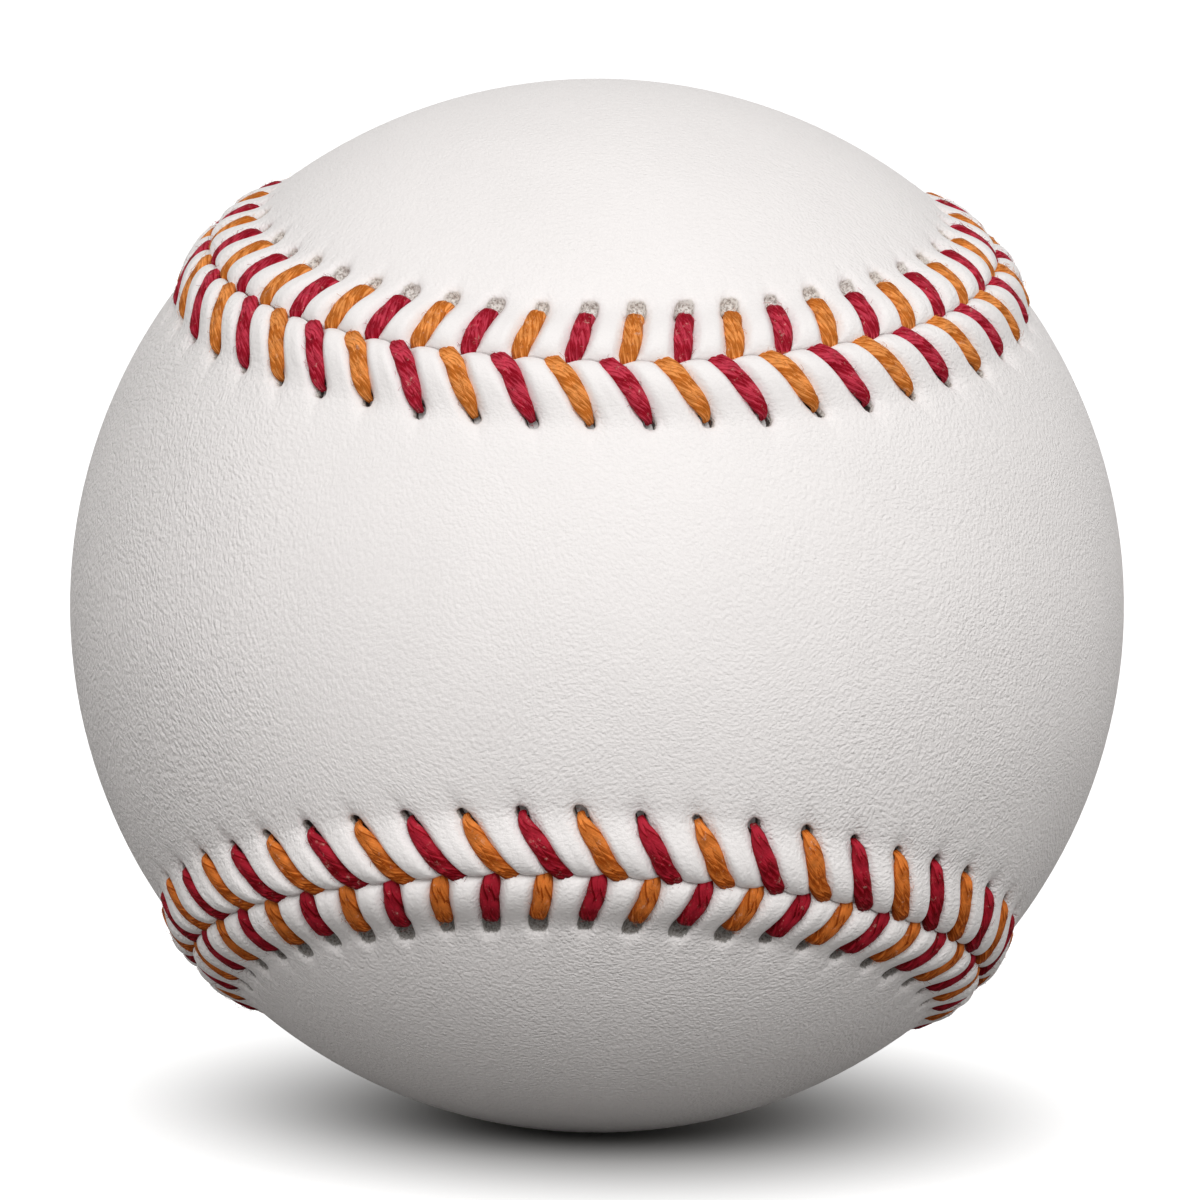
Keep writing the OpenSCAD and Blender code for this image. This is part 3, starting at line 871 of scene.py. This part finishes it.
def thread_curves(name, seam, reliefs, start_side):
    """One open line for each stitch of a thread, which takes the two panels in turn."""
    points_each = 15
    curve = bpy.data.curves.new(name, "CURVE")
    curve.dimensions = "3D"
    for k in range(STATIONS):
        side = start_side if k % 2 == 0 else -start_side
        points, swell = stitch_route(seam, reliefs[side], side, k, points_each)
        if side == BACK:
            points, swell = points[::-1], swell[::-1]
        line = curve.splines.new("POLY")
        line.points.add(len(points) - 1)
        for point, place, size in zip(line.points, points * MM, swell):
            point.co = (*place, 1.0)
            point.radius = size
    return curve


def grown(name, data, tree, **sizes):
    """Runs a geometry node tree on some data and gives the result as a plain mesh."""
    seedling = placed(name, data)
    modifier = seedling.modifiers.new("nodes", "NODES")
    modifier.node_group = tree
    sockets = {item.name: item.identifier for item in tree.interface.items_tree}
    for label, value in sizes.items():
        modifier[sockets[label.replace("_", " ").title()]] = value
    bpy.context.view_layer.update()
    ready = seedling.evaluated_get(bpy.context.evaluated_depsgraph_get())
    mesh = bpy.data.meshes.new_from_object(ready)
    mesh.name = name
    bpy.data.objects.remove(seedling)
    return mesh


class BALL_OT_cover_panels(bpy.types.Operator):
    """Makes the two leather panels with their sewn, raised edges"""

    bl_idname = "ball.cover_panels"
    bl_label = "Cover panels"

    def execute(self, context):
        seam = Seam(context.scene.ball_seam)
        finish = leather(context.scene.ball_leather)
        for side, label in SIDE_NAMES.items():
            mesh = PanelMesh(seam, side).build("leather_" + label)
            close_seams(mesh)
            dress(mesh.name, mesh, finish, "cover_panel_" + label)
        return {"FINISHED"}


class BALL_OT_threads(bpy.types.Operator):
    """Sews the red and the orange thread, stitch by stitch"""

    bl_idname = "ball.threads"
    bl_label = "Threads"

    def execute(self, context):
        seam = Seam(context.scene.ball_seam)
        yarn = context.scene.ball_thread
        reliefs = {side: Relief(seam, side) for side in SIDE_NAMES}
        fibres = fibre_group()
        for colour, start_side in (("red", BACK), ("orange", FRONT)):
            finish = thread_finish(colour + "_thread", getattr(yarn, colour), yarn.wax, fibres)
            curve = thread_curves("stitches_" + colour, seam, reliefs, start_side)
            mesh = grown("stitches_" + colour, curve, strand_tree(finish),
                         width=seam.sizes.thread_w * MM, height=seam.sizes.thread_h * MM,
                         turns=yarn.twist, plies=yarn.plies, seed=seam.sizes.seed)
            dress(mesh.name, mesh, finish, "thread_" + colour)
        return {"FINISHED"}


def winding_group():
    """Yarn wound round a ball along three great circles that cross: its height and its tone."""
    coil_axes = ((0.9, 0.2, 0.39), (-0.3, 0.85, 0.43), (0.25, -0.47, 0.85))
    graph, inputs, outputs = effect_group(
        "wound_yarn", {"Vector": None, "Strand": 0.8}, ["Height", "Tone"])
    place = graph.scaled(inputs["Vector"], 1 / MM)
    way = graph.vector("NORMALIZE", inputs["Vector"])
    drift = graph.scaled(graph.noise(place, 0.05)[1], 5.0)
    height = None
    for i, axis in enumerate(coil_axes):
        level = graph.vector("DOT_PRODUCT", graph.vector("ADD", place, drift), axis)
        phase = graph.math("DIVIDE", graph.times(level, math.tau), inputs["Strand"])
        strand = graph.math("MULTIPLY_ADD", graph.math("SINE", phase), 0.5, 0.5)
        near = graph.math("ABSOLUTE", graph.vector("DOT_PRODUCT", way, axis))
        patch = graph.noise(graph.vector("ADD", place, (7.0 * i, 0.0, 3.0 * i)), 0.11, 1.0)[0]
        rank = graph.math("SUBTRACT", patch, graph.times(near, 0.35))
        layer = graph.math("MULTIPLY_ADD", strand, 0.25, graph.times(rank, 4.0))
        height = layer if height is None else graph.math("MAXIMUM", height, layer)
    graph.feed(outputs["Height"], graph.math("FRACT", height))
    graph.feed(outputs["Tone"], graph.smooth(graph.noise(place, 1.3, 3.0)[0], 0.3, 0.7, 0.72, 1.08))
    return graph.tree


def yarn_finish(name, colour, strand, wound):
    """A wound layer of wool or cotton yarn."""
    material, graph, shader = new_material(name, 0.9, 0.2, 0.4)
    coils = graph.group(wound, vector=graph.object_place(), strand=strand)
    # Painted shade: the yarn is darker where its height is low, in the grooves between strands, times its
    # random tone
    shade = graph.times(coils["Tone"], graph.smooth(coils["Height"], 0.0, 0.5, 0.55, 1.0))
    graph.feed(shader.inputs["Base Color"], graph.toned(rgba(colour), shade))
    bump(graph, shader, coils["Height"], 0.9, 0.25)
    return material


def rubber_finish(name, colour):
    """Moulded rubber: matt, with a fine pitted skin and a bloom of dust."""
    material, graph, shader = new_material(name, 0.7, 0.4)
    place = graph.object_place()
    tone = graph.group(dust_group(), vector=place, scale=pattern_scale(3), amount=0.5)[0]
    bloom = graph.smooth(graph.noise(place, pattern_scale(1.2), 4.0, 0.7)[0], 0.55, 0.75, 0.0, 0.25)
    rubber = graph.toned(rgba(colour), tone)
    graph.feed(shader.inputs["Base Color"], graph.mix(bloom, rubber, rgba((0.3, 0.28, 0.26))))
    graph.feed(shader.inputs["Roughness"], graph.smooth(tone, 0.8, 1.2, 0.6, 0.8))
    bump(graph, shader, graph.noise(place, pattern_scale(0.35))[0], 0.5, 0.08)
    return material


def cork_finish(name, colour):
    """Ground cork pressed together: pale and dark crumbs with dark gaps."""
    crumb_scale = pattern_scale(1.7)
    material, graph, shader = new_material(name, 0.85, 0.25)
    place = graph.object_place()
    bent = graph.vector("MULTIPLY_ADD", graph.noise(place, pattern_scale(1))[1], (0.8 * MM,) * 3, place)
    crumbs = graph.cells(bent, crumb_scale)
    gaps = graph.smooth(graph.cells(bent, crumb_scale, "DISTANCE_TO_EDGE")[0], 0.02, 0.1)
    shade, bulge, _ = graph.axes(crumbs["Color"])
    pale = graph.mix(shade, rgba(colour, 0.55), rgba(colour, 1.3))
    graph.feed(shader.inputs["Base Color"], graph.mix(gaps, rgba(colour, 0.22), pale))
    bump(graph, shader, graph.times(gaps, bulge), 0.8, 0.3)
    return material


def slot_colour(name):
    """The colour that the record gives to a material slot."""
    return next(m["base_color"] for m in frame["record"]["materials"] if m["slot"] == name)


def coat(node, finish):
    """Gives a CAD node its finish."""
    solid = frame["nodes"][node]
    solid.data.materials.clear()
    solid.data.materials.append(finish)


class BALL_OT_windings(bpy.types.Operator):
    """Finishes the four wound layers under the leather"""

    bl_idname = "ball.windings"
    bl_label = "Windings"

    def execute(self, context):
        wound = winding_group()
        for node, slot, strand in WINDINGS:
            coat(node, yarn_finish(node + "_yarn", slot_colour(slot), strand, wound))
        return {"FINISHED"}


class BALL_OT_pill(bpy.types.Operator):
    """Finishes the cork core and the rubber round it"""

    bl_idname = "ball.pill"
    bl_label = "Pill"

    def execute(self, context):
        coat("cork_core", cork_finish("ground_cork", slot_colour("cork")))
        for slot, nodes in RUBBER_NODES.items():
            finish = rubber_finish(slot, slot_colour(slot))
            for node in nodes:
                coat(node, finish)
        return {"FINISHED"}


def front_lamp(power):
    """A large soft lamp in front of the ball and above it, which points at it."""
    light = bpy.data.lights.new("front_lamp", "AREA")
    light.energy = power
    light.shape = "RECTANGLE"
    light.size = 0.9
    light.size_y = 0.6
    fixture = placed("front_lamp", light)
    fixture.location = (0.1, -1.04, 0.58)
    fixture.rotation_euler = (-fixture.location).to_track_quat("-Z", "Y").to_euler()


def floor_finish(contact):
    """Dark paper that glows white to the camera, except in a soft painted shadow round the contact, where
    its own shading shows.
    """
    shadow_inner, shadow_outer = 0.22 * SMOOTH_R * MM, 1.05 * SMOOTH_R * MM
    shadow_middle = contact + Vector((0.8 * MM, 8 * MM, 0))
    shadow_shape = (0.92, 0.68, 1.0)
    material, graph, shader = new_material("floor_paper", 1.0, 0.0)
    shader.inputs["Base Color"].default_value = (0.27, 0.265, 0.26, 1)
    place = graph.object_place()
    graph.feed(shader.inputs["Roughness"],
               graph.smooth(graph.noise(place, 60.0, 3.0)[0], 0.2, 0.8, 0.9, 1.0))
    # Painted shadow: the floor glows white to the camera only outside a soft disc round the contact, set
    # back behind it, so within it the dark paper and the ball's cast shadow show
    apart = graph.vector("SUBTRACT", place, tuple(shadow_middle))
    apart = graph.vector("LENGTH", graph.vector("MULTIPLY", apart, shadow_shape))
    glow_outside_painted_shadow = graph.smooth(apart, shadow_inner, shadow_outer)
    camera = graph.node("ShaderNodeLightPath").outputs["Is Camera Ray"]
    glow = graph.node("ShaderNodeEmission", {"Strength": graph.times(camera, glow_outside_painted_shadow)})
    both = graph.node("ShaderNodeAddShader", {0: shader, 1: glow})
    graph.feed(graph.tree.nodes["Material Output"].inputs["Surface"], both)
    return material


def floor_sheet(tilt):
    """A large floor that touches the ball from below, at the tilt the ball lies at."""
    contact = Matrix.Rotation(tilt, 3, "X") @ Vector((0, 0, -SMOOTH_R * MM))
    work = bmesh.new()
    bmesh.ops.create_grid(work, x_segments=8, y_segments=8, size=3.0)
    work.transform(Matrix.Translation(contact) @ Matrix.Rotation(tilt, 4, "X"))
    mesh = bpy.data.meshes.new("floor")
    work.to_mesh(mesh)
    work.free()
    mesh.materials.append(floor_finish(contact))
    floor = placed("floor", mesh)
    floor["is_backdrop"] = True


def white_surround():
    """A world that lights softly, most from the sides, and shows white to the camera."""
    side_light, top_light = 0.92, 0.45
    world = bpy.data.worlds.new("studio")
    bpy.context.scene.world = world
    world.use_nodes = True
    graph = Graph(world.node_tree)
    sky = world.node_tree.nodes["Background"]
    sky.inputs["Color"].default_value = (1.0, 0.995, 0.985, 1)
    rays = graph.node("ShaderNodeLightPath").outputs
    seen = graph.math("MAXIMUM", rays["Is Camera Ray"], rays["Is Transmission Ray"])
    up = graph.axes(graph.node("ShaderNodeTexCoord").outputs["Generated"])[2]
    soft = graph.smooth(up, 0.0, 1.0, side_light, top_light)
    graph.feed(sky.inputs["Strength"], graph.math("MAXIMUM", seen, soft))


def photo_camera(distance):
    """The camera, far away and level with the ball, at the angle of the photograph."""
    image_w = 1200.0
    ball_centre = (597.0, 605.5)
    pixels_per_mm = 14.31
    lean_degrees = (1.51, 1.38, -1.2)
    data = bpy.data.cameras.new("camera")
    data.lens = pixels_per_mm * distance / MM / image_w * data.sensor_width
    data.shift_x = 0.5 - ball_centre[0] / image_w
    data.shift_y = ball_centre[1] / image_w - 0.5
    data.clip_end = 50
    camera = placed("camera", data)
    lean = Euler([math.radians(a) for a in lean_degrees]).to_matrix().to_4x4()
    level = Matrix.Translation((0, -distance, 0)) @ Matrix.Rotation(math.radians(90), 4, "X")
    camera.matrix_world = lean.inverted() @ level
    bpy.context.scene.camera = camera


class BALL_OT_stage(bpy.types.Operator):
    """Sets the floor, the lamp, the white surround and the camera"""

    bl_idname = "ball.stage"
    bl_label = "Stage"

    def execute(self, context):
        settings = context.scene.ball_stage
        floor_sheet(settings.floor_tilt)
        white_surround()
        front_lamp(settings.key)
        photo_camera(settings.distance)
        context.scene.view_settings.view_transform = "Standard"
        return {"FINISHED"}


OPERATORS = (BALL_OT_cover_panels, BALL_OT_threads, BALL_OT_windings, BALL_OT_pill, BALL_OT_stage)
SETTINGS = {"ball_seam": SeamSizes, "ball_leather": LeatherFinish, "ball_thread": ThreadFinish,
            "ball_stage": StageSettings}


class BALL_PT_pieces(bpy.types.Panel):
    """Lists the pieces of the ball and their settings"""

    bl_label = "Baseball"
    bl_idname = "BALL_PT_pieces"
    bl_space_type = "VIEW_3D"
    bl_region_type = "UI"
    bl_category = "Baseball"

    def draw(self, context):
        for operator in OPERATORS:
            self.layout.operator(operator.bl_idname)
        for name, group in SETTINGS.items():
            box = self.layout.box()
            for field in group.__annotations__:
                box.prop(getattr(context.scene, name), field)


def register():
    for kind in (*SETTINGS.values(), *OPERATORS, BALL_PT_pieces):
        bpy.utils.register_class(kind)
    for name, group in SETTINGS.items():
        setattr(bpy.types.Scene, name, PointerProperty(type=group))


def unregister():
    for name in SETTINGS:
        delattr(bpy.types.Scene, name)
    for kind in (BALL_PT_pieces, *reversed(OPERATORS), *reversed(SETTINGS.values())):
        bpy.utils.unregister_class(kind)


def corners(bounds):
    """The two corners of a box as plain lists."""
    return [list(corner) for corner in bounds]


def main():
    """Dresses the ball, and measures its box before and after."""
    solids = corners(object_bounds())
    register()
    bpy.ops.ball.cover_panels()
    bpy.ops.ball.threads()
    bpy.ops.ball.windings()
    bpy.ops.ball.pill()
    bpy.ops.ball.stage()
    {"cad": solids, "visual": corners(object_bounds())}


if __name__ == "__main__":
    main()
